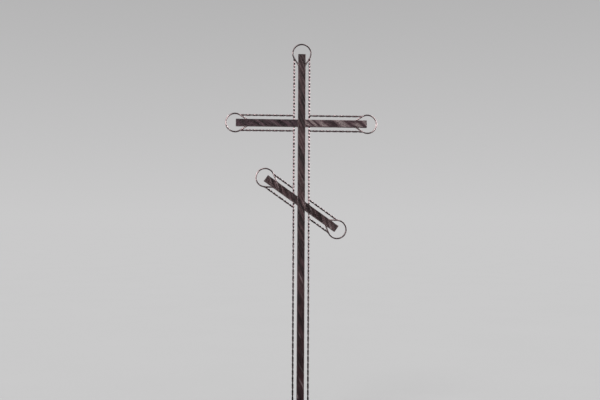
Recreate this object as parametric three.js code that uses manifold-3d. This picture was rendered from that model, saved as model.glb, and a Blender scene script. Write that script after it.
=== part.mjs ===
// Wrought iron grave cross: a flat forged post, a crossbar in two arms and a slanted footrest bar in two
// halves, with a twisted rod along both sides of every bar and an open ring round every bar end.
// Millimetres, +Z up. X runs to the viewer's right and the front faces -Y.
// The origin is the middle of the post where it meets the ground, and all that reaches it is cut off flat.
import * as THREE from "three";
import { mergeVertices } from "three/addons/utils/BufferGeometryUtils.js";
import Module from "manifold-3d";

const wasm = await Module();
wasm.setup();

// Driving dimensions of the whole
const HEIGHT = 2000;
const SPAN = 800;
const TOP_RING_ABOVE_CROSSBAR = 367;
const FOOTREST_BELOW_CROSSBAR = 421;
const FOOTREST_REACH = 232;
const FOOTREST_SLOPE = THREE.MathUtils.degToRad(35.4);

// Driving dimensions of the iron
const BAR_WIDTH = 40;
const BAR_DEPTH = 20;
const BAR_CHAMFER = 3;
const BAR_TIP_INSET = 4;
const RING_RADIUS = 48;
const RING_BAR = 8;
const RING_OPENING = THREE.MathUtils.degToRad(57.8);
const ROD_WIDTH = 9;
const ROD_THICKNESS = 6;
const ROD_OFFSET = 40;
const ROD_TURN = 70;

// Hammered strokes across the broad faces: how deep they are pressed, how far apart, how uneven
const STROKE_DEPTH = 1;
const STROKE_STEP = 19;
const STROKE_SCATTER = 4;
const POST_STROKE_ANGLE = THREE.MathUtils.degToRad(-24);
const BRANCH_STROKE_ANGLE = THREE.MathUtils.degToRad(38);

// Touching pieces keep this far apart
const GAP = 0.3;

// Mesh fineness
const ROD_STEPS_A_TURN = 8;
const RING_SIDES = 8;
const RING_HALF_STEPS = 12;

// Bar stock is made this much longer than the bar at each end, and the saw cuts this wide
const OVERRUN = 65;
const SAW_BLOCK = 400;

// Heights and reaches worked out from the driving dimensions
const RING_OUTER = RING_RADIUS + RING_BAR / 2;
const TOP_RING_Z = HEIGHT - RING_OUTER;
const CROSSBAR_Z = TOP_RING_Z - TOP_RING_ABOVE_CROSSBAR;
const FOOTREST_Z = CROSSBAR_Z - FOOTREST_BELOW_CROSSBAR;
const ARM_REACH = SPAN / 2 - RING_OUTER;
const HALF_BAR = BAR_WIDTH / 2;
const EDGE = HALF_BAR + GAP;
const UP = new THREE.Vector3(0, 0, 1);
const DOWNWARDS = Math.PI;

const BAR_IRON = { color: 0x40302f, roughness: 0.5, metalness: 0.6 };
const RING_IRON = { color: 0x33292a, roughness: 0.4, metalness: 0.6 };
const ROD_IRON = { color: 0x3a2a29, roughness: 0.35, metalness: 0.7 };

function toSolid(geometry) {
  const bare = geometry.clone();
  bare.deleteAttribute("normal");
  bare.deleteAttribute("uv");
  const merged = mergeVertices(bare, 1e-4);
  const vertProperties = new Float32Array(merged.attributes.position.array);
  const triVerts = new Uint32Array(merged.index.array);
  return new wasm.Manifold(new wasm.Mesh({ numProp: 3, vertProperties, triVerts }));
}

function toMesh(name, solid, iron) {
  const { vertProperties, triVerts } = solid.getMesh();
  const geometry = new THREE.BufferGeometry();
  geometry.setAttribute("position", new THREE.BufferAttribute(vertProperties, 3));
  geometry.setIndex(new THREE.BufferAttribute(triVerts, 1));
  const mesh = new THREE.Mesh(geometry, new THREE.MeshStandardMaterial({ ...iron, flatShading: true }));
  mesh.name = name;
  return mesh;
}

// Saws off what lies beyond a plane through (x, z). The plane faces the direction that makes
// the given angle with +Z, turning towards +X.
function sawOff(solid, x, z, angle) {
  const block = new THREE.BoxGeometry(SAW_BLOCK, SAW_BLOCK, SAW_BLOCK);
  block.translate(0, 0, SAW_BLOCK / 2).rotateY(angle).translate(x, 0, z);
  return solid.subtract(toSolid(block));
}

function moveVertices(geometry, move) {
  const position = geometry.attributes.position;
  const point = new THREE.Vector3();
  for (let i = 0; i < position.count; i += 1) {
    move(point.fromBufferAttribute(position, i));
    position.setXYZ(i, point.x, point.y, point.z);
  }
  return geometry;
}

function chamferedSection() {
  const side = HALF_BAR;
  const face = BAR_DEPTH / 2;
  const corners = [];
  for (const [right, back] of [[1, -1], [1, 1], [-1, 1], [-1, -1]]) {
    const onFace = new THREE.Vector2(right * (side - BAR_CHAMFER), back * face);
    const onSide = new THREE.Vector2(right * side, back * (face - BAR_CHAMFER));
    corners.push(...(right * back < 0 ? [onFace, onSide] : [onSide, onFace]));
  }
  return new THREE.Shape(corners);
}

// A length of flat bar along +Z from start to end, left long at both ends. Every second section is pressed
// in on the broad faces, and the sections lean, so the strokes cross the faces at an angle to the bar. They
// lean towards -X going up the bar where the angle is negative.
function flatBar(start, end, strokeAngle) {
  const steps = Math.ceil((end - start + 2 * OVERRUN) / STROKE_STEP);
  const depth = steps * STROKE_STEP;
  const stock = new THREE.ExtrudeGeometry(chamferedSection(), { depth, steps, bevelEnabled: false });
  moveVertices(stock, (point) => {
    const section = Math.round(point.z / STROKE_STEP);
    const onBroadFace = Math.abs(point.y) > BAR_DEPTH / 2 - BAR_CHAMFER / 2;
    if (onBroadFace && section % 2 === 1) point.y -= Math.sign(point.y) * STROKE_DEPTH;
    point.z += start - OVERRUN + point.x / Math.tan(strokeAngle);
    point.z += STROKE_SCATTER * Math.sin(section * section);
  });
  return toSolid(stock);
}

function rodTwist(z) {
  return (z / ROD_TURN) * 2 * Math.PI;
}

// A length of right-handed twisted rod along +Z at x = offset, left long at both ends.
function twistedRod(offset, start, end) {
  const section = new THREE.Shape([
    new THREE.Vector2(-ROD_WIDTH / 2, -ROD_THICKNESS / 2),
    new THREE.Vector2(ROD_WIDTH / 2, -ROD_THICKNESS / 2),
    new THREE.Vector2(ROD_WIDTH / 2, ROD_THICKNESS / 2),
    new THREE.Vector2(-ROD_WIDTH / 2, ROD_THICKNESS / 2),
  ]);
  const step = ROD_TURN / ROD_STEPS_A_TURN;
  const steps = Math.ceil((end - start) / step) + 4;
  const depth = steps * step;
  const stock = new THREE.ExtrudeGeometry(section, { depth, steps, bevelEnabled: false });
  moveVertices(stock, (point) => {
    point.z += start - 2 * step;
    point.applyAxisAngle(UP, rodTwist(point.z));
    point.x += offset;
  });
  return toSolid(stock);
}

// How far an upright rod reaches sideways, at most, over the stretch that a rod butting on it covers.
function rodReach(z) {
  let reach = 0;
  for (let s = -1; s <= 1; s += 0.25) {
    const twist = rodTwist(z + s * ROD_WIDTH);
    const width = ROD_WIDTH * Math.abs(Math.cos(twist)) + ROD_THICKNESS * Math.abs(Math.sin(twist));
    reach = Math.max(reach, width / 2);
  }
  return reach;
}

// The centreline of an open ring round the point (0, centre): straight in from the side of the bar,
// round the bar's end on a circle that the straights are tangent to, and straight back to the other side.
class OpenRing extends THREE.Curve {
  constructor(centre) {
    super();
    this.centre = centre;
    this.arc = RING_RADIUS * 2 * (Math.PI - RING_OPENING);
    this.straight = (RING_RADIUS * Math.sin(RING_OPENING) - HALF_BAR / 2) / Math.cos(RING_OPENING);
  }

  getPoint(t, target = new THREE.Vector3()) {
    const along = t * (this.arc + 2 * this.straight) - this.straight;
    const onArc = THREE.MathUtils.clamp(along, 0, this.arc);
    const angle = RING_OPENING + onArc / RING_RADIUS;
    const past = along - onArc;
    const x = RING_RADIUS * Math.sin(angle) + past * Math.cos(angle);
    const z = -RING_RADIUS * Math.cos(angle) + past * Math.sin(angle);
    return target.set(x, 0, this.centre + z);
  }
}

function openRing(centre) {
  const section = new THREE.Shape();
  for (let i = 0; i < RING_SIDES; i += 1) {
    const angle = ((i + 0.5) / RING_SIDES) * 2 * Math.PI;
    const radius = RING_BAR / 2 / Math.cos(Math.PI / RING_SIDES);
    const x = radius * Math.cos(angle);
    const y = radius * Math.sin(angle);
    if (i === 0) section.moveTo(x, y);
    else section.lineTo(x, y);
  }
  const path = new OpenRing(centre);
  const steps = 2 * RING_HALF_STEPS;
  const ring = toSolid(new THREE.ExtrudeGeometry(section, { steps, extrudePath: path }));
  const bar = new THREE.BoxGeometry(2 * EDGE, SAW_BLOCK, SAW_BLOCK);
  return ring.subtract(toSolid(bar.translate(0, 0, centre - SAW_BLOCK / 2)));
}

// Cuts the end of a rod at x = offset to lie flat on the straight of the ring round (0, centre).
function fitToRing(rod, offset, centre) {
  const away = RING_OUTER + GAP;
  const side = Math.sign(offset);
  const x = side * away * Math.sin(RING_OPENING);
  const z = centre - away * Math.cos(RING_OPENING);
  return sawOff(rod, x, z, -side * RING_OPENING);
}

const cross = new THREE.Group();
cross.name = "wrought_iron_cross";

// One arm or one half of the footrest. Its frame has its origin at the crossing on the post's middle line
// and +Z out along the bar; side is 1 on the right and -1 on the left, and slope is how far the bar leans.
function addBranch(name, side, slope, height, reach) {
  const branch = new THREE.Group();
  branch.position.z = height;
  branch.rotation.y = (side * Math.PI) / 2 + slope;
  const inwards = Math.PI - slope;

  const innerEnd = EDGE / Math.cos(slope);
  let bar = flatBar(innerEnd, reach, BRANCH_STROKE_ANGLE);
  bar = sawOff(bar, 0, innerEnd, inwards);
  bar = sawOff(bar, 0, reach - BAR_TIP_INSET, 0);
  branch.add(toMesh(name, bar, BAR_IRON));
  branch.add(toMesh(`${name}_ring`, openRing(reach), RING_IRON));

  for (const offset of [-ROD_OFFSET, ROD_OFFSET]) {
    const below = offset / Math.cos(slope) + ROD_OFFSET * Math.tan(slope);
    const reachOut = ROD_OFFSET + rodReach(height - side * below) + GAP;
    const start = reachOut / Math.cos(slope) + offset * Math.tan(slope);
    let rod = twistedRod(offset, start, reach);
    rod = sawOff(rod, offset, start, inwards);
    rod = fitToRing(rod, offset, reach);
    const place = offset * side > 0 ? "lower" : "upper";
    branch.add(toMesh(`${name}_rod_${place}`, rod, ROD_IRON));
  }
  cross.add(branch);
}

function addPost() {
  let post = flatBar(0, TOP_RING_Z, POST_STROKE_ANGLE);
  post = sawOff(post, 0, 0, DOWNWARDS);
  post = sawOff(post, 0, TOP_RING_Z - BAR_TIP_INSET, 0);
  cross.add(toMesh("post", post, BAR_IRON));
  cross.add(toMesh("post_ring", openRing(TOP_RING_Z), RING_IRON));
}

// The upright rods stop at the edges of the arms and of the footrest bar, which they meet on a slant.
function addUprightRods(place, offset) {
  const slantedEdge = EDGE / Math.cos(FOOTREST_SLOPE);

  let upper = twistedRod(offset, CROSSBAR_Z + EDGE, TOP_RING_Z);
  upper = sawOff(upper, offset, CROSSBAR_Z + EDGE, DOWNWARDS);
  upper = fitToRing(upper, offset, TOP_RING_Z);
  cross.add(toMesh(`post_rod_upper_${place}`, upper, ROD_IRON));

  let middle = twistedRod(offset, FOOTREST_Z - ROD_OFFSET, CROSSBAR_Z);
  middle = sawOff(middle, offset, CROSSBAR_Z - EDGE, 0);
  middle = sawOff(middle, 0, FOOTREST_Z + slantedEdge, DOWNWARDS + FOOTREST_SLOPE);
  cross.add(toMesh(`post_rod_middle_${place}`, middle, ROD_IRON));

  let lower = twistedRod(offset, 0, FOOTREST_Z + ROD_OFFSET);
  lower = sawOff(lower, 0, FOOTREST_Z - slantedEdge, FOOTREST_SLOPE);
  lower = sawOff(lower, offset, 0, DOWNWARDS);
  cross.add(toMesh(`post_rod_lower_${place}`, lower, ROD_IRON));
}

addPost();
addUprightRods("left", -ROD_OFFSET);
addUprightRods("right", ROD_OFFSET);
addBranch("arm_left", -1, 0, CROSSBAR_Z, ARM_REACH);
addBranch("arm_right", 1, 0, CROSSBAR_Z, ARM_REACH);
addBranch("footrest_left", -1, FOOTREST_SLOPE, FOOTREST_Z, FOOTREST_REACH);
addBranch("footrest_right", 1, FOOTREST_SLOPE, FOOTREST_Z, FOOTREST_REACH);

export default cross;
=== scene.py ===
import math

import bpy
import numpy as np
from mathutils import Matrix, Vector


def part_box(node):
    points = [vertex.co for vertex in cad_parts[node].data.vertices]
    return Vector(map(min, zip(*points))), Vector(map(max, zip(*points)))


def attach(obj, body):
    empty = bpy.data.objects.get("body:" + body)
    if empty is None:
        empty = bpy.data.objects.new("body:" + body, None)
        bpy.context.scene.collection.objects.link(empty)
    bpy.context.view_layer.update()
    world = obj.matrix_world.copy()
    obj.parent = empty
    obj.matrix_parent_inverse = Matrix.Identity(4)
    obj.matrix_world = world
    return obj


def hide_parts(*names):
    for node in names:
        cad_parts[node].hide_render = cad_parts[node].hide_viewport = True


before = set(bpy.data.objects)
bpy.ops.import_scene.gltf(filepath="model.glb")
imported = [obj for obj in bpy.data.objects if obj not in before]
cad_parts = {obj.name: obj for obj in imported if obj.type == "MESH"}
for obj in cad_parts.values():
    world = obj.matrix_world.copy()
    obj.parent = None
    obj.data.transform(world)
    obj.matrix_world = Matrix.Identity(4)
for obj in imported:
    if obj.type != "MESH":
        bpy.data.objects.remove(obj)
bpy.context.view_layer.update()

# The iron cross in metres, in the frame of the solids: +Z up, +X to the viewer's right, the front facing -Y.
# The heights and reaches come from the solids' boxes. The stock's sizes are repeated here, with round corners
# in the place of chamfers. Pieces that meet keep the gap, so what butts on a bar's side starts at EDGE.
BAR_CORNER = 0.0042
BAR_BEVEL = 0.0011
BAR_TIP_INSET = 0.004
RING_BAR = 0.008
RING_OPENING = math.radians(57.8)
ROD_WIDTH = 0.009
ROD_THICKNESS = 0.006
ROD_CORNER = 0.0008
ROD_OFFSET = 0.040
ROD_TURN = 0.070
FOOTREST_SLOPE = math.radians(35.4)
GAP = 0.0003

HALF_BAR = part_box("post")[1].x
HALF_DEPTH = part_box("post")[1].y
RING_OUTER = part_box("post_ring")[1].x
RING_RADIUS = RING_OUTER - RING_BAR / 2
TOP_RING_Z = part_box("post_ring")[1].z - RING_OUTER
CROSSBAR_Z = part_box("arm_right_ring")[1].z - RING_OUTER
ARM_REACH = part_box("arm_right_ring")[1].x - RING_OUTER
FOOTREST_REACH = (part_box("footrest_right_ring")[1].x - RING_OUTER) / math.cos(FOOTREST_SLOPE)
FOOTREST_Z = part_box("footrest_right_ring")[0].z + RING_OUTER + FOOTREST_REACH * math.sin(FOOTREST_SLOPE)
EDGE = HALF_BAR + GAP

# Weld beads: their radii and how long their ripples are. The one round a bar's inner end lies inside the
# bar's sides and faces, and is moved a little towards the post.
BAR_WELD = 0.0023
BAR_WELD_SIDE_INSET = 0.0008
BAR_WELD_FACE_INSET = 0.0024
BAR_WELD_SHIFT = 0.0006
RING_WELD = 0.0014
ROD_WELD = 0.0012
WELD_RIPPLE = 0.0022

# A rod's end that is cut steeper than 45 degrees has a lump of weld, which takes up most of the cut. Its
# rings of points go up and down to an angle short of the poles.
LUMP_SHARE = 0.97
LUMP_HEIGHT = 0.0022
LUMP_ANGLE = 1.35

# Strokes pressed into the broad faces: the same broad ones as in the solids, then a finer grain along them,
# which wanders by a share of its width, then longer bands of lighter and darker paint
STROKE_DEPTH = 0.0009
STROKE_STEP = 0.019
STROKE_SCATTER = 0.004
STROKE_OVERRUN = 0.065
POST_STROKE_ANGLE = math.radians(-24)
BRANCH_STROKE_ANGLE = math.radians(38)
GRAIN_ACROSS = 0.0052
GRAIN_ALONG = 0.055
GRAIN_DEPTH = 0.0005
WANDER_SIZE = 0.03
WANDER_SHARE = 0.8
BAND_ACROSS = 0.011
BAND_ALONG = 0.09

# Dents and nicks, by how long and how deep they are. A ring's dents take a share of its bar's radius. A rod's
# fade out over a share of its length at each end.
DENT_SIZE = 0.014
DENT_DEPTH = 0.0003
NICK_SIZE = 0.006
NICK_DEPTH = 0.0005
NICKS_IN_A_RADIAN = 3
ROD_DENT_SIZE = 0.012
ROD_DENT_DEPTH = 0.00035
ROD_DENT_FADE = 0.01
RING_DENT_SIZE = 0.016
RING_DENT_SHARE = 0.05

# Where in the noise the backs and the right sides start, so that they differ from the fronts and left sides
BACK_SHIFT = 131.3
SIDE_SHIFT = 57.7

# How far each kind of wear goes at most, from 0 for whole paint to 1 for bare metal
BAR_HIGH_WEAR = 0.30
BAR_STREAK_WEAR = 0.25
BAR_BACK_WEAR = 0.1
BAR_SIDE_WEAR = 0.25
ROD_HIGH_WEAR = 0.25
RING_HIGH_WEAR = 0.4
# The rub on a ring's outer side is partly real wear and partly a painted highlight.
RING_OUTSIDE_WEAR_AND_SHEEN = 0.55

# How long the patches of wear are. The painted highlight along a ring's leg begins past the bend and grows
# towards the bar.
EDGE_WEAR_ALONG = 0.02
EDGE_WEAR_ACROSS = 0.025
ROD_WEAR_SIZE = 0.009
RING_WEAR_SIZE = 0.02
RING_LEG_HIGHLIGHT_BEGIN = 0.015
RING_LEG_HIGHLIGHT_GROWTH = 0.02

# A bar's tint and painted shade change between two places along it, from the ground or the post's middle
# line;
# the post darkens towards the ground, a painted shade. The lightest level, partly a painted sheen, is held
# back on the backs. An upright rod darkens from a height to the ground, a painted shade, where a share is
# left.
TINT_AND_SHADE_PLACES = (0.2, 1.4)
BACK_TINT_AND_SHEEN_LIMIT = 1.2
ROD_PAINTED_SHADE_HEIGHT = 1.3
ROD_FOOT_LEVEL_IN_PAINTED_SHADE = 0.16

# Mesh fineness, how far apart a rod's points are round its section, and the rounds that find a rod's heights
POST_STEP = 0.0017
BRANCH_STEP = 0.0013
ROD_STEP = 0.0018
ROD_POINT_GAP = 0.0016
RING_STEP = 0.0020
RING_SIDES = 14
WELD_STEP = 0.0011
WELD_SIDES = 7
LUMP_RINGS = 9
LUMP_SIDES = 16
TWIST_ROUNDS = 24
SHARP_ANGLE = math.radians(50)


def noise(u, v, seed):
    """Smooth seeded noise from 0 to 1 over the plane (u, v), with one random value to each unit cell."""
    size = 256
    lattice = np.random.default_rng(seed).random((size, size))
    u, v = np.broadcast_arrays(u, v)
    cell_u, cell_v = np.floor(u).astype(int), np.floor(v).astype(int)
    fade_u, fade_v = (f * f * (3 - 2 * f) for f in (u - cell_u, v - cell_v))
    near, far = ((cell_v + k) % size for k in (0, 1))
    low = lattice[cell_u % size, near] * (1 - fade_v) + lattice[cell_u % size, far] * fade_v
    high = lattice[(cell_u + 1) % size, near] * (1 - fade_v) + lattice[(cell_u + 1) % size, far] * fade_v
    return low * (1 - fade_u) + high * fade_u


def smooth(value, low, high):
    """0 below low, 1 above high, and an even curve between them."""
    share = np.clip((value - low) / (high - low), 0, 1)
    return share * share * (3 - 2 * share)


def rounded_section(width, thickness, corner, width_steps, thickness_steps, corner_steps):
    """Points anticlockwise round a bar's section, and the outward direction at each of them."""
    points, outward = [], []
    for quarter in range(4):
        start = quarter * math.pi / 2
        centre = np.array([
            math.copysign(width / 2 - corner, math.cos(start + math.pi / 4)),
            math.copysign(thickness / 2 - corner, math.sin(start + math.pi / 4)),
        ])
        for k in range(corner_steps + 1):
            angle = start + k / corner_steps * math.pi / 2
            outward.append(np.array([math.cos(angle), math.sin(angle)]))
            points.append(centre + corner * outward[-1])
        side, steps = ((width, width_steps), (thickness, thickness_steps))[quarter % 2]
        flat = side - 2 * corner
        base, facing = points[-1], outward[-1]
        direction = np.array([-facing[1], facing[0]])
        for k in range(1, steps):
            points.append(base + direction * flat * k / steps)
            outward.append(facing)
    return np.array(points), np.array(outward)


POST_SECTION = rounded_section(
    2 * HALF_BAR, 2 * HALF_DEPTH, BAR_CORNER, width_steps=22, thickness_steps=6, corner_steps=4)
BRANCH_SECTION = rounded_section(
    2 * HALF_BAR, 2 * HALF_DEPTH, BAR_CORNER, width_steps=30, thickness_steps=6, corner_steps=4)
ROD_SECTION = rounded_section(
    ROD_WIDTH, ROD_THICKNESS, ROD_CORNER, width_steps=2, thickness_steps=1, corner_steps=3)


class Shape:
    """A piece's mesh in the making: its faces, and each point's place, wear and painted sheen, tint and
    painted shade, and place in the grain.

    The points are in the frame of the piece's bar, which runs along +Z, and place puts them in the cross."""

    def __init__(self, place):
        self.place = place
        self.points, self.wear, self.shade, self.grain, self.faces = [], [], [], [], []
        self.count = 0

    def add_sleeve(self, points, wear, grain, capped=True, shade=1.0):
        """Adds closed rings of points, each joined to the next, as a shell that faces outward.

        Unless capped, the last ring joins the first."""
        rings, around = points.shape[:2]
        index = self.count + np.arange(rings * around).reshape(rings, around)
        if not capped:
            index = np.vstack([index, index[:1]])
        turned = np.roll(index, -1, axis=1)
        quads = np.stack([index[:-1], turned[:-1], turned[1:], index[1:]], axis=-1).reshape(-1, 4)
        faces = quads.tolist()
        if capped:
            faces += [index[0, ::-1].tolist(), index[-1].tolist()]
        # The sign of the volume inside tells which way the faces turn
        centred = (points - points.mean(axis=(0, 1))).reshape(-1, 3)
        a, b, c, d = np.moveaxis(centred[quads - self.count], 1, 0)
        outward = np.sum(a * (np.cross(b, c) + np.cross(c, d))) > 0
        self.faces += faces if outward else [face[::-1] for face in faces]
        self.points.append(points.reshape(-1, 3))
        self.wear.append(np.broadcast_to(wear, (rings, around)).reshape(-1))
        self.shade.append(np.broadcast_to(shade, (rings, around, 3)).reshape(-1, 3))
        self.grain.append(np.broadcast_to(grain, (rings, around, 3)).reshape(-1, 3))
        self.count += rings * around

    def add_weld(self, loop, outward, axis, radius, seed):
        """A bead along a closed loop of points. outward is across the bead and axis square to both."""
        loop, outward = np.array(loop), np.array(outward)
        length = np.linalg.norm(np.roll(loop, -1, axis=0) - loop, axis=1)
        at = np.concatenate([[0], np.cumsum(length)])
        steps = max(12, int(at[-1] / WELD_STEP))
        where = np.arange(steps) / steps * at[-1]

        def evenly(values):
            closed = np.vstack([values, values[:1]])
            return np.stack([np.interp(where, at, closed[:, k]) for k in range(values.shape[1])], axis=1)

        middle, across = evenly(loop), evenly(outward)
        across /= np.linalg.norm(across, axis=1, keepdims=True)
        turn = np.arange(WELD_SIDES) / WELD_SIDES * 2 * math.pi
        swell = 0.72 + 0.28 * noise(where / WELD_RIPPLE, 0.5, seed)[:, None]
        offset = (
            across[:, None, :] * np.cos(turn)[None, :, None]
            + np.array(axis)[None, None, :] * np.sin(turn)[None, :, None]
        )
        points = middle[:, None, :] + offset * (radius * swell)[:, :, None]
        self.add_sleeve(points, 0.5 * swell, points, capped=False)

    def add_lump(self, centre, along, across, up, seed):
        """A rough oval lump of weld with the three half axes given."""
        rise = np.linspace(-LUMP_ANGLE, LUMP_ANGLE, LUMP_RINGS)[:, None]
        turn = (np.arange(LUMP_SIDES) / LUMP_SIDES * 2 * math.pi)[None, :]
        swell = 0.82 + 0.36 * noise(rise * 2.2 + 5, np.cos(turn) * 1.6 + np.sin(turn) * 1.1 + 4, seed)
        parts = (np.cos(rise) * np.cos(turn), np.cos(rise) * np.sin(turn), np.sin(rise) + 0 * turn)
        axes = (np.array(axis) for axis in (along, across, up))
        points = sum((swell * part)[:, :, None] * axis for part, axis in zip(parts, axes))
        self.add_sleeve(points + np.array(centre), 0.5 * (swell - 0.7), points)

    def finish(self, node, material):
        """Makes the piece that stands for the node."""
        points = np.concatenate(self.points)
        turn = np.array(self.place.to_3x3())
        points = points @ turn.T + np.array(self.place.translation)
        mesh = bpy.data.meshes.new(f"{node}_iron")
        mesh.from_pydata(points.tolist(), [], self.faces)
        mesh.attributes.new("wear", "FLOAT", "POINT").data.foreach_set("value", np.concatenate(self.wear))
        for attribute, values in (("shade", self.shade), ("grain", self.grain)):
            vectors = mesh.attributes.new(attribute, "FLOAT_VECTOR", "POINT")
            vectors.data.foreach_set("vector", np.concatenate(values).reshape(-1))
        mesh.shade_smooth()
        mesh.set_sharp_from_angle(angle=SHARP_ANGLE)
        mesh.materials.append(material)
        piece = bpy.data.objects.new(f"{node}_iron", mesh)
        bpy.context.scene.collection.objects.link(piece)
        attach(piece, "root")
        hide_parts(node)


def bar_steps(length, butted):
    """The shares of a bar's length where its mesh has a ring of points, and how far each ring is drawn in.

    The tip has a small bevel, and so has the start of a bar that butts on the post."""
    step = BRANCH_STEP if butted else POST_STEP
    bevel = BAR_BEVEL / length
    between = np.linspace(0, 1, math.ceil(length / step) + 1)[1:-1]
    shares = np.concatenate([[0, bevel] if butted else [0], between, [1 - bevel, 1]])
    inset = np.zeros_like(shares)
    inset[-1] = BAR_BEVEL
    if butted:
        inset[0] = BAR_BEVEL
    return shares[:, None], inset[:, None]


def pressed(level, length):
    """The broad strokes at a level along the bar: 0 on the face, 1 where it is pressed in."""
    number = np.arange(math.ceil((length + 2 * STROKE_OVERRUN) / STROKE_STEP) + 2)
    height = number * STROKE_STEP + STROKE_SCATTER * np.sin(number**2)
    return smooth(np.interp(level, height, number % 2), 0, 1)


def forged_bar(shape, start, slope, end, stroke_angle, seed, butted, look):
    """A flat bar from the plane z = start + x tan(slope) to z = end, its broad faces worked with strokes.

    One that isn't butted on the post is the post, cut off flat at its start. Each field of noise has a seed
    of its own, counted on from the bar's."""
    (x, y), (out_x, out_y) = (a.T for a in (BRANCH_SECTION if butted else POST_SECTION))
    shares, inset = bar_steps(end - start, butted)
    first = start + x * math.tan(slope)
    z = first + shares * (end - first)
    x, y = (np.broadcast_to(a, z.shape) for a in (x, y))
    broad, narrow = out_y**2, out_x**2
    corner = 4 * broad * narrow
    face = np.where(out_y < 0, 0.0, BACK_SHIFT)
    flank = np.where(out_x < 0, 0.0, SIDE_SHIFT)

    across = x * math.cos(stroke_angle) - z * math.sin(stroke_angle)
    along = x * math.sin(stroke_angle) + z * math.cos(stroke_angle)
    stroke = pressed(z - start + STROKE_OVERRUN - x / math.tan(stroke_angle), end - start)
    wander = WANDER_SHARE * noise(along / WANDER_SIZE, across / WANDER_SIZE, seed + 1)
    coarse = noise(across / GRAIN_ACROSS + wander + face, along / GRAIN_ALONG + face, seed)
    fine = noise(across / GRAIN_ACROSS * 1.3 + face, along / GRAIN_ALONG * 1.7, seed + 2)
    ridge = 0.7 * coarse + 0.3 * fine
    dent = noise(x / DENT_SIZE + face, z / DENT_SIZE, seed + 3)
    side_dent = noise(y / DENT_SIZE + flank, z / DENT_SIZE, seed + 4)
    side_grain = noise(y / GRAIN_ACROSS + flank, z / GRAIN_ALONG, seed + 5)
    nicks = smooth(noise(z / NICK_SIZE, np.arctan2(y, x) * NICKS_IN_A_RADIAN, seed + 6), 0.55, 1) * corner

    depth = broad * (STROKE_DEPTH * stroke + GRAIN_DEPTH * (1 - ridge) + DENT_DEPTH * dent)
    depth += narrow * (DENT_DEPTH * side_dent * 2 + GRAIN_DEPTH * 0.6 * side_grain)
    depth += NICK_DEPTH * nicks
    back = depth + inset
    points = np.stack([x - out_x * back, y - out_y * back, z], axis=-1)

    high = smooth(ridge, 0.5, 0.85) * smooth(1 - stroke, 0.05, 0.9)
    streak = noise(across / (GRAIN_ACROSS * 1.5) + face, along / (GRAIN_ALONG * 1.6), seed + 7)
    streak = smooth(streak, 0.5, 0.9) * smooth(ridge, 0.3, 0.7)
    band = noise(across / BAND_ACROSS + wander + face, along / BAND_ALONG + face, seed + 9)
    # Painted sheen, partly real wear: the fronts are rubbed by each bar's own amount, brightest on the right
    # arm, and the backs only a little.
    rubbed_and_sheen = np.where(out_y < 0, look["rubbed_and_sheen"], BAR_BACK_WEAR)
    wear = BAR_HIGH_WEAR * high + BAR_STREAK_WEAR * streak + rubbed_and_sheen * smooth(band, 0.35, 0.8)
    wear = broad * wear + narrow * BAR_SIDE_WEAR * side_grain
    # Corners wear through, and their wear differs from side to side as a painted highlight on the side
    # towards the light.
    edge = 0.7 + 0.3 * noise(z / EDGE_WEAR_ALONG, x / EDGE_WEAR_ACROSS, seed + 8)
    edge = edge * smooth(corner, 0.15, 0.8) * np.where(x < 0, *look["edges"])
    wear = np.maximum(wear, edge * (1 - 0.4 * nicks))

    # Painted shade and tint: darker towards the near place, as the post towards the ground, in long random
    # bands of lighter and darker paint; the backs keep less of the lighter levels, which are partly a painted
    # sheen.
    near, far = (np.array(tint) for tint in look["shade"])
    shade = near + (far - near) * smooth(z, *TINT_AND_SHADE_PLACES)[..., None]
    shade = shade * (0.45 + 1.1 * smooth(band, 0.15, 0.85))[..., None]
    shade = np.where(out_y[:, None] < 0, shade, np.minimum(shade, BACK_TINT_AND_SHEEN_LIMIT))
    shape.add_sleeve(points, wear, np.stack([across, along, y], axis=-1), shade=shade)


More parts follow.
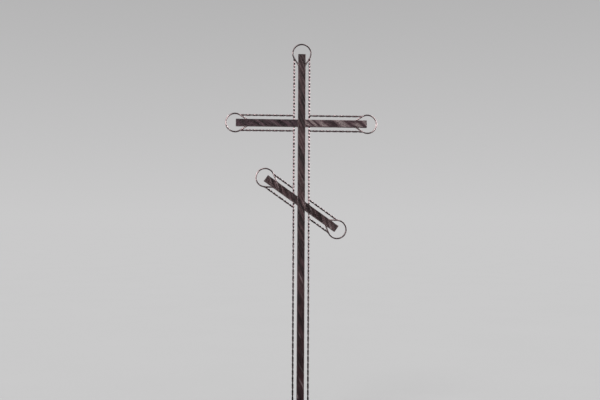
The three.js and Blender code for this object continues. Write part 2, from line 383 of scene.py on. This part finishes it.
def twisted_rod(shape, offset, start, end, seed, shade, painted_shade_low=False):
    """A twisted rod along x = offset, between two planes given as z at the rod's middle and its slope in x.

    One with painted shade low down grows darker towards the ground. The planes cut a turning section, so the
    height of each point is found in rounds."""
    (section_x, section_y), (out_x, out_y) = (a.T for a in ROD_SECTION)
    steps = math.ceil((end[0] - start[0]) / ROD_STEP)
    share = np.linspace(0, 1, steps + 1)[:, None]
    z = start[0] + share * (end[0] - start[0]) + 0 * section_x
    for _ in range(TWIST_ROUNDS):
        twist = z / ROD_TURN * 2 * math.pi
        x = section_x * np.cos(twist) - section_y * np.sin(twist)
        first, last = start[0] + start[1] * x, end[0] + end[1] * x
        z = first + share * (last - first)
    y = section_x * np.sin(twist) + section_y * np.cos(twist)
    around = np.arange(len(section_x))[None, :] + 0 * z
    dent = noise(around / 3.0, z / ROD_DENT_SIZE, seed)
    dent *= smooth(share, 0, ROD_DENT_FADE) * smooth(1 - share, 0, ROD_DENT_FADE)
    back = ROD_DENT_DEPTH * dent
    normal_x = out_x * np.cos(twist) - out_y * np.sin(twist)
    normal_y = out_x * np.sin(twist) + out_y * np.cos(twist)
    points = np.stack([offset + x - normal_x * back, y - normal_y * back, z], axis=-1)

    corner = smooth(4 * (out_x * out_y) ** 2, 0.1, 0.8)
    wear = corner * (0.45 + 0.55 * noise(z / ROD_WEAR_SIZE, around / 4.0, seed + 1))
    wear = np.maximum(wear, ROD_HIGH_WEAR * smooth(1 - dent, 0.6, 1))
    # Painted shade: an upright rod that is shaded low down darkens towards the ground, and its corner wear
    # fades with it.
    light = np.ones_like(z)
    if painted_shade_low:
        light = ROD_FOOT_LEVEL_IN_PAINTED_SHADE + (1 - ROD_FOOT_LEVEL_IN_PAINTED_SHADE) * np.minimum(1, (z / ROD_PAINTED_SHADE_HEIGHT) ** 2)
    grain = np.stack([around * ROD_POINT_GAP, z, y], axis=-1)
    shape.add_sleeve(points, wear * (0.3 + 0.7 * light), grain, shade=(shade * light)[..., None])
    weld_rod_ends(shape, points, start, end, seed)


def weld_rod_ends(shape, points, start, end, seed):
    """A bead round each end of a rod, or a lump over one that is cut steeply, but nothing at the ground."""
    for ring, (height, fall) in ((0, start), (-1, end)):
        if height == 0:
            continue
        loop = points[ring]
        middle = loop.mean(axis=0)
        up = np.array([-fall, 0, 1.0]) / math.hypot(1, fall)
        if abs(fall) > 1:
            along = np.array([1, 0, fall]) / math.hypot(1, fall)
            reach = np.abs((loop - middle) @ along).max() * LUMP_SHARE
            deep = np.abs(loop[:, 1]).max() * LUMP_SHARE
            shape.add_lump(middle, along * reach, (0, deep, 0), up * LUMP_HEIGHT, seed + 5)
        else:
            shape.add_weld(loop, loop - middle, up, ROD_WELD, seed + 2 + ring)


def open_ring(shape, centre, seed, look):
    """A round bar bent round the bar's end at (0, centre), with its ends turned in to the bar's two sides."""
    arc = RING_RADIUS * 2 * (math.pi - RING_OPENING)
    straight = (RING_RADIUS * math.sin(RING_OPENING) - EDGE) / math.cos(RING_OPENING)
    steps = math.ceil((arc + 2 * straight) / RING_STEP)
    share = np.linspace(0, 1, steps + 1)[:, None]
    turn = np.arange(RING_SIDES) / RING_SIDES * 2 * math.pi
    out, deep = RING_BAR / 2 * np.cos(turn), RING_BAR / 2 * np.sin(turn)
    reach = straight + out * math.tan(RING_OPENING)
    at = -reach + share * (arc + 2 * reach)
    on_arc = np.clip(at, 0, arc)
    past = at - on_arc
    angle = RING_OPENING + on_arc / RING_RADIUS
    dent = noise(at / RING_DENT_SIZE, np.cos(turn) + 2 + np.sin(turn) * 0.7, seed)
    radius = 1 - RING_DENT_SHARE * dent
    x = (RING_RADIUS + out * radius) * np.sin(angle) + past * np.cos(angle)
    z = centre - (RING_RADIUS + out * radius) * np.cos(angle) + past * np.sin(angle)
    y = deep * radius
    points = np.stack([x, y, z], axis=-1)

    # Real wear and painted highlights: the ring's outer side, its far side and its two legs are rubbed
    # lighter, each by the bar's look.
    outside_wear_and_sheen = smooth(np.cos(turn), 0.2, 1.0) * noise(at / RING_WEAR_SIZE, 3.5, seed + 1)
    wear = RING_OUTSIDE_WEAR_AND_SHEEN * outside_wear_and_sheen + RING_HIGH_WEAR * smooth(1 - dent, 0.55, 0.95)
    wear = wear + look["ring_far_highlight"] * smooth(-np.cos(angle), -0.2, 0.9) * (0.6 + 0.4 * dent)
    for past_bend, rubbed_and_sheen in zip((at, arc - at), look["ring_leg_highlights"]):
        wear = wear + rubbed_and_sheen * smooth(RING_LEG_HIGHLIGHT_BEGIN - past_bend, 0, RING_LEG_HIGHLIGHT_GROWTH)
    grain = np.stack([turn * RING_BAR / 2 + 0 * at, at, y], axis=-1)
    shape.add_sleeve(points, wear, grain)
    for ring in (0, -1):
        loop = points[ring]
        shape.add_weld(loop, loop - loop.mean(axis=0), (1.0, 0, 0), RING_WELD, seed + 3 + ring)


def node_maker(tree):
    """Shorthand for adding a node with its settings and inputs, with a link where an input is a socket.

    An input is given by its name, with _ for a space, or by its number after a _."""
    def make(kind, settings=None, **inputs):
        node = tree.nodes.new(kind)
        for name, value in (settings or {}).items():
            setattr(node, name, value)
        for name, value in inputs.items():
            socket = node.inputs[int(name[1:])] if name[0] == "_" else node.inputs[name.replace("_", " ")]
            if isinstance(value, bpy.types.NodeSocket):
                tree.links.new(value, socket)
            else:
                socket.default_value = value
        return node
    return make


def arithmetic(make, operation, *values):
    """The result of a Math node."""
    inputs = {f"_{k}": value for k, value in enumerate(values)}
    return make("ShaderNodeMath", {"operation": operation}, **inputs).outputs[0]


def remap(make, value, source=(0.0, 1.0), target=(0.0, 1.0), curve="LINEAR"):
    """The value carried over from the source's range to the target's, and held within it."""
    return make("ShaderNodeMapRange", {"interpolation_type": curve}, Value=value,
                From_Min=source[0], From_Max=source[1], To_Min=target[0], To_Max=target[1]).outputs[0]


def multiply_vectors(make, first, second):
    return make("ShaderNodeVectorMath", {"operation": "MULTIPLY"}, _0=first, _1=second).outputs[0]


def blend_colours(make, share, low, high):
    return make("ShaderNodeMix", {"data_type": "RGBA"}, _0=share, _6=low, _7=high).outputs[2]


def blend_values(make, share, low, high):
    return make("ShaderNodeMix", {"data_type": "FLOAT"}, _0=share, _2=low, _3=high).outputs[0]


def pattern(make, place, scale, detail, roughness):
    """The value of a Noise Texture node."""
    inputs = {"Vector": place, "Scale": scale, "Detail": detail, "Roughness": roughness}
    return make("ShaderNodeTexNoise", **inputs).outputs["Fac"]


def attribute(make, name, output):
    return make("ShaderNodeAttribute", {"attribute_name": name}).outputs[output]


# The irons' patterns, in waves to the metre. Fibres and strokes run along the grain, and clouds and pits are
# the same all ways. The paint goes from dark to light between two levels of the clouds, which have a share of
# strokes, and takes each point's tint and painted shade. It is rubbed through between two levels of the wear
# and painted sheen, less shares of fibres and pits. Those also make the relief, and the fibres change the
# roughness by a little.
FIBRE_SCALE = (620.0, 60.0, 620.0)
STROKE_SCALE = (260.0, 16.0, 260.0)
CLOUD_SCALE = 38.0
PIT_SCALE = 420.0
STROKES_IN_CLOUDS = 0.55
PAINT_LEVELS = (0.38, 0.64)
FIBRES_IN_RUB = 0.55
PITS_IN_RUB = 0.35
RUB_LEVELS = (-0.28, 0.42)
PITS_IN_RELIEF = 0.4
RELIEF_HEIGHT = 0.0006
ROUGHNESS_SPREAD = 0.09


def iron(name, dark, light, rub, roughness, rub_roughness, metallic, rub_metallic, bump, specular=0.5):
    """Dark metal paint over forged iron, tinted and shaded by the tint and painted shade attribute, and
    rubbed through to a warm metal where the wear and painted sheen attribute is high.
    """
    material = bpy.data.materials.new(name)
    material.use_nodes = True
    tree = material.node_tree
    shader = tree.nodes["Principled BSDF"]
    make = node_maker(tree)
    place = make("ShaderNodeTexCoord").outputs["Object"]
    grain = attribute(make, "grain", "Vector")
    fibre = pattern(make, multiply_vectors(make, grain, FIBRE_SCALE), 1.0, 4.0, 0.6)
    stroke = pattern(make, multiply_vectors(make, grain, STROKE_SCALE), 1.0, 3.0, 0.55)
    cloud = pattern(make, place, CLOUD_SCALE, 5.0, 0.62)
    pits = pattern(make, place, PIT_SCALE, 3.0, 0.6)

    mottle = blend_values(make, STROKES_IN_CLOUDS, cloud, stroke)
    paint = blend_colours(make, remap(make, mottle, PAINT_LEVELS), dark, light)
    # Each point's tint and painted shade darken or lighten the paint.
    paint = multiply_vectors(make, paint, attribute(make, "shade", "Vector"))
    broken = arithmetic(make, "MULTIPLY", fibre, FIBRES_IN_RUB)
    broken = arithmetic(make, "MULTIPLY_ADD", pits, PITS_IN_RUB, broken)
    rubbed_and_sheen = arithmetic(make, "SUBTRACT", attribute(make, "wear", "Fac"), broken)
    rubbed_and_sheen = remap(make, rubbed_and_sheen, RUB_LEVELS, curve="SMOOTHSTEP")
    tree.links.new(blend_colours(make, rubbed_and_sheen, paint, rub), shader.inputs["Base Color"])

    rough = remap(make, fibre, target=(roughness - ROUGHNESS_SPREAD, roughness + ROUGHNESS_SPREAD))
    tree.links.new(blend_values(make, rubbed_and_sheen, rough, rub_roughness), shader.inputs["Roughness"])
    tree.links.new(remap(make, rubbed_and_sheen, target=(metallic, rub_metallic)), shader.inputs["Metallic"])
    shader.inputs["Specular IOR Level"].default_value = specular

    height = arithmetic(make, "MULTIPLY_ADD", pits, PITS_IN_RELIEF, fibre)
    relief = make("ShaderNodeBump", Strength=bump, Distance=RELIEF_HEIGHT, Height=height).outputs["Normal"]
    tree.links.new(relief, shader.inputs["Normal"])
    return material


BAR_IRON = iron(
    "bar_iron", dark=(0.028, 0.0145, 0.0155, 1), light=(0.055, 0.031, 0.033, 1), rub=(0.22, 0.172, 0.172, 1),
    roughness=0.44, rub_roughness=0.48, metallic=0.15, rub_metallic=0.75, bump=0.5, specular=0.32)
# The rings' rub is made light partly for painted highlights on their outer sides.
RING_IRON = iron(
    "ring_iron", dark=(0.045, 0.030, 0.032, 1), light=(0.09, 0.065, 0.068, 1), rub=(0.50, 0.39, 0.39, 1),
    roughness=0.34, rub_roughness=0.28, metallic=0.6, rub_metallic=0.85, bump=0.3)
ROD_IRON = iron(
    "rod_iron", dark=(0.12, 0.080, 0.086, 1), light=(0.20, 0.143, 0.149, 1), rub=(0.45, 0.37, 0.36, 1),
    roughness=0.21, rub_roughness=0.24, metallic=0.9, rub_metallic=0.95, bump=0.1)

# How far the paint is rubbed through, real wear with painted highlights where it differs from bar to bar and
# side
# to side: on each bar's front, brightest on the right arm as a painted sheen, on its corners at -x and at +x,
# on its ring's far side and along the ring's two legs. Then the tint and painted shade of the bar's paint at
# the two
# places, as red, green and blue: the post darker low down, the left arm darker and the right arm lighter, as
# painted shade and sheen. Then how light its rods are drawn. The post's rods have theirs further down.
LOOKS = {
    "post": {"rubbed_and_sheen": 0.12, "edges": (0.25, 1.0), "ring_far_highlight": 0, "ring_leg_highlights": (0, 0),
             "shade": ((0.44, 0.28, 0.32), (0.93, 0.93, 0.93))},
    "arm_left": {"rubbed_and_sheen": 0.04, "edges": (1.0, 0.3), "ring_far_highlight": 0.6, "ring_leg_highlights": (1, 0.5),
                 "shade": ((0.8, 0.8, 0.94), (0.8, 0.8, 0.94)), "rods": 1.0},
    "arm_right": {"rubbed_and_sheen": 0.85, "edges": (0.8, 1.0), "ring_far_highlight": 0.75, "ring_leg_highlights": (1, 1),
                  "shade": ((1.8, 1.8, 1.95), (1.8, 1.8, 1.95)), "rods": 1.0},
    "footrest_left": {"rubbed_and_sheen": 0.25, "edges": (1.2, 0.3), "ring_far_highlight": 0.4, "ring_leg_highlights": (1, 0.1),
                      "shade": ((0.95, 0.95, 0.95), (1.0, 1.0, 1.0)), "rods": 0.7},
    "footrest_right": {"rubbed_and_sheen": 0.3, "edges": (0.3, 1.2), "ring_far_highlight": 0.1, "ring_leg_highlights": (0.3, 1),
                       "shade": ((0.9, 0.9, 0.9), (1.0, 1.0, 1.0)), "rods": 0.7},
}


def rod_reach(z):
    """How far an upright rod reaches sideways, at most, over the stretch that a rod butting on it covers."""
    twist = (z + np.arange(-4, 5) / 4 * ROD_WIDTH) / ROD_TURN * 2 * math.pi
    reach = ROD_WIDTH * np.abs(np.cos(twist)) + ROD_THICKNESS * np.abs(np.sin(twist))
    return float(np.max(reach)) / 2


def ring_plane(offset, centre):
    """The plane that cuts a rod to lie flat on a ring: z at the rod's middle, and its slope in x."""
    away = RING_OUTER + GAP
    side = math.copysign(1, offset)
    slope = side * math.tan(RING_OPENING)
    z = centre - away * math.cos(RING_OPENING) + slope * (offset - side * away * math.sin(RING_OPENING))
    return z, slope


def add_ring(name, place, centre, seed):
    """The ring round a bar's end. It is named after the bar."""
    ring = Shape(place)
    open_ring(ring, centre, seed, LOOKS[name])
    ring.finish(f"{name}_ring", RING_IRON)


def add_post(seed):
    post = Shape(Matrix())
    forged_bar(post, 0.0, 0.0, TOP_RING_Z - BAR_TIP_INSET, POST_STROKE_ANGLE, seed, False, LOOKS["post"])
    post.finish("post", BAR_IRON)
    add_ring("post", Matrix(), TOP_RING_Z, seed + 10)


def add_upright_rods(side_name, offset, seed, shade):
    """The rods along one side of the post: above the arm, between it and the footrest, and below that."""
    slanted_edge = EDGE / math.cos(FOOTREST_SLOPE)
    fall = math.tan(FOOTREST_SLOPE)
    stretches = {
        "upper": ((CROSSBAR_Z + EDGE, 0.0), ring_plane(offset, TOP_RING_Z)),
        "middle": ((FOOTREST_Z + slanted_edge - fall * offset, -fall), (CROSSBAR_Z - EDGE, 0.0)),
        "lower": ((0.0, 0.0), (FOOTREST_Z - slanted_edge - fall * offset, -fall)),
    }
    for k, (where, (start, end)) in enumerate(stretches.items()):
        rod = Shape(Matrix())
        twisted_rod(rod, offset, start, end, seed + 10 * k, shade, painted_shade_low=True)
        rod.finish(f"post_rod_{where}_{side_name}", ROD_IRON)


def weld_to_post(bar, start, slope, seed):
    """The bead round the end of an arm or of a half of the footrest, where it butts on the post."""
    across, deep = BRANCH_SECTION[0].T
    across = across * (1 - BAR_WELD_SIDE_INSET / HALF_BAR)
    deep = deep * (1 - BAR_WELD_FACE_INSET / HALF_DEPTH)
    loop = np.stack([across, deep, start + across * math.tan(slope) - BAR_WELD_SHIFT], axis=-1)
    axis = np.array([-math.tan(slope), 0, 1.0]) / math.hypot(1, math.tan(slope))
    bar.add_weld(loop, loop * np.array([1, 1, 0]), axis, BAR_WELD, seed)


def add_branch(name, side, slope, height, reach, seed):
    """An arm or a half of the footrest, with its ring and its two rods. side is -1 for left and 1 for right.

    Its frame has +Z out along the bar from the post's middle line."""
    place = Matrix.Translation((0, 0, height)) @ Matrix.Rotation(side * math.pi / 2 + slope, 4, "Y")
    inner_end = EDGE / math.cos(slope)
    look = LOOKS[name]

    bar = Shape(place)
    forged_bar(bar, inner_end, slope, reach - BAR_TIP_INSET, BRANCH_STROKE_ANGLE, seed, True, look)
    weld_to_post(bar, inner_end, slope, seed + 40)
    bar.finish(name, BAR_IRON)

    add_ring(name, place, reach, seed + 50)

    for offset in (-ROD_OFFSET, ROD_OFFSET):
        below = offset / math.cos(slope) + ROD_OFFSET * math.tan(slope)
        reach_out = ROD_OFFSET + rod_reach(height - side * below) + GAP
        start = (reach_out / math.cos(slope) + offset * math.tan(slope), math.tan(slope))
        rod = Shape(place)
        twisted_rod(rod, offset, start, ring_plane(offset, reach), seed + 60 + int(offset > 0), look["rods"])
        where = "lower" if offset * side > 0 else "upper"
        rod.finish(f"{name}_rod_{where}", ROD_IRON)


add_post(seed=11)
add_upright_rods("left", -ROD_OFFSET, seed=100, shade=1.0)
# The right rods are drawn a little lighter, a painted highlight.
add_upright_rods("right", ROD_OFFSET, seed=140, shade=1.15)
add_branch("arm_left", -1, 0.0, CROSSBAR_Z, ARM_REACH, seed=200)
add_branch("arm_right", 1, 0.0, CROSSBAR_Z, ARM_REACH, seed=300)
add_branch("footrest_left", -1, FOOTREST_SLOPE, FOOTREST_Z, FOOTREST_REACH, seed=400)
add_branch("footrest_right", 1, FOOTREST_SLOPE, FOOTREST_Z, FOOTREST_REACH, seed=500)


# The floor is a wide pale disc, as bright at the horizon as the sky above it. Its paint varies a little.
FLOOR_RADIUS = 60.0
FLOOR_SIDES = 96
FLOOR_ALBEDO = 0.41
FLOOR_CHANGE = 0.015
FLOOR_ROUGHNESS = 0.9
FLOOR_CLOUD_SCALE = 1.2


def add_floor():
    mesh = bpy.data.meshes.new("floor")
    angles = [k / FLOOR_SIDES * 2 * math.pi for k in range(FLOOR_SIDES)]
    rim = [(FLOOR_RADIUS * math.cos(angle), FLOOR_RADIUS * math.sin(angle), 0) for angle in angles]
    mesh.from_pydata(rim, [], [list(range(FLOOR_SIDES))])
    floor = bpy.data.objects.new("floor", mesh)
    bpy.context.scene.collection.objects.link(floor)
    paint = bpy.data.materials.new("floor_paint")
    paint.use_nodes = True
    shader = paint.node_tree.nodes["Principled BSDF"]
    shader.inputs["Roughness"].default_value = FLOOR_ROUGHNESS
    shader.inputs["Specular IOR Level"].default_value = 0.0
    make = node_maker(paint.node_tree)
    cloud = pattern(make, make("ShaderNodeTexCoord").outputs["Object"], FLOOR_CLOUD_SCALE, 3.0, 0.5)
    low, high = ((FLOOR_ALBEDO * (1 + change),) * 3 + (1,) for change in (-FLOOR_CHANGE, FLOOR_CHANGE))
    paint.node_tree.links.new(blend_colours(make, cloud, low, high), shader.inputs["Base Color"])
    mesh.materials.append(paint)
    floor.visible_glossy = False


# What the camera sees behind the cross is pale grey, from HORIZON to OVERHEAD. The cross itself stands in a
# dim room. The dome lights it evenly, and it mirrors large soft boxes: azimuth from the front towards the
# viewer's right, half width, elevation, half height, all in degrees, and radiance.
HORIZON = 0.59
OVERHEAD = 0.40
OVERHEAD_RISE = 0.35
STUDIO_COLOUR = (1.0, 0.995, 1.0, 1)
ROOM = 0.05
DOME = 1.25
BOX_BLUR = 5.0
SOFT_BOXES = (
    (-46, 30, 24, 28, 7.0),
    (88, 16, 15, 35, 1.6),
    (134, 30, 24, 28, 5.0),
    (0, 200, 90, 40, 1.0),
    (0, 200, -90, 45, 0.5),
)


def within(make, angle, half):
    """1 where an angle from the middle is less than the half width, 0 where it is more, with a soft edge.

    The angle is in radians and the half width in degrees."""
    away = arithmetic(make, "ABSOLUTE", angle)
    edge = (math.radians(half - BOX_BLUR), math.radians(half + BOX_BLUR))
    return remap(make, away, edge, (1.0, 0.0), "SMOOTHSTEP")


def add_studio():
    world = bpy.data.worlds.new("studio")
    bpy.context.scene.world = world
    world.use_nodes = True
    make = node_maker(world.node_tree)
    direction = make("ShaderNodeTexCoord").outputs["Generated"]
    up = make("ShaderNodeSeparateXYZ", Vector=direction).outputs["Z"]
    seen = remap(make, up, (0.0, OVERHEAD_RISE), (HORIZON, OVERHEAD))

    mirrored = ROOM
    rise = arithmetic(make, "ARCSINE", up)
    for azimuth, half_width, elevation, half_height, radiance in SOFT_BOXES:
        turned = make("ShaderNodeVectorRotate", {"rotation_type": "Z_AXIS"}, Vector=direction,
                      Angle=math.radians(-azimuth)).outputs[0]
        part = make("ShaderNodeSeparateXYZ", Vector=turned).outputs
        bearing = arithmetic(make, "ARCTAN2", part["X"], arithmetic(make, "MULTIPLY", part["Y"], -1.0))
        above = arithmetic(make, "SUBTRACT", rise, math.radians(elevation))
        sides, ends = within(make, bearing, half_width), within(make, above, half_height)
        inside = arithmetic(make, "MULTIPLY", sides, ends)
        mirrored = arithmetic(make, "MULTIPLY_ADD", inside, radiance, mirrored)

    ray = make("ShaderNodeLightPath").outputs
    lighting = blend_values(make, ray["Is Diffuse Ray"], mirrored, DOME)
    level = blend_values(make, ray["Is Camera Ray"], lighting, seen)
    sky = world.node_tree.nodes["Background"]
    sky.inputs["Color"].default_value = STUDIO_COLOUR
    world.node_tree.links.new(level, sky.inputs["Strength"])
    world.cycles.sampling_method = "NONE"


# A weak sun gives the floor its soft shadow
KEY_ENERGY = 0.8
KEY_ANGLE = math.radians(22)
KEY_TURN = (math.radians(42), 0, math.radians(-38))


def add_key():
    key = bpy.data.lights.new("key", "SUN")
    key.energy = KEY_ENERGY
    key.angle = KEY_ANGLE
    key_object = bpy.data.objects.new("key", key)
    key_object.rotation_euler = KEY_TURN
    key_object.visible_glossy = False
    bpy.context.scene.collection.objects.link(key_object)


# The photograph's viewing angle: the camera stands a little to the left and looks nearly level
CAMERA_DISTANCE = 4.596
CAMERA_YAW = math.radians(4.51)
CAMERA_PITCH = math.radians(1.06)
CAMERA_ROLL = math.radians(0.30)
CAMERA_AIM = Vector((-0.0063, 0, 1.179))
CAMERA_LENS = 52.67
CAMERA_SENSOR = 36.0


def add_camera():
    lens = bpy.data.cameras.new("camera")
    lens.lens = CAMERA_LENS
    lens.sensor_width = CAMERA_SENSOR
    camera = bpy.data.objects.new("camera", lens)
    forward = Vector((
        math.sin(CAMERA_YAW) * math.cos(CAMERA_PITCH),
        math.cos(CAMERA_YAW) * math.cos(CAMERA_PITCH),
        math.sin(CAMERA_PITCH),
    ))
    right = Vector((math.cos(CAMERA_YAW), -math.sin(CAMERA_YAW), 0))
    upward = right.cross(forward)
    turned_right = math.cos(CAMERA_ROLL) * right + math.sin(CAMERA_ROLL) * upward
    turned_up = math.cos(CAMERA_ROLL) * upward - math.sin(CAMERA_ROLL) * right
    stance = Matrix((turned_right, turned_up, -forward)).transposed().to_4x4()
    stance.translation = CAMERA_AIM - CAMERA_DISTANCE * forward
    camera.matrix_world = stance
    bpy.context.scene.collection.objects.link(camera)
    bpy.context.scene.camera = camera


add_floor()
add_studio()
add_key()
add_camera()
bpy.context.scene.view_settings.view_transform = "Standard"
bpy.context.scene.cycles.denoising_prefilter = "NONE"

bpy.context.view_layer.update()
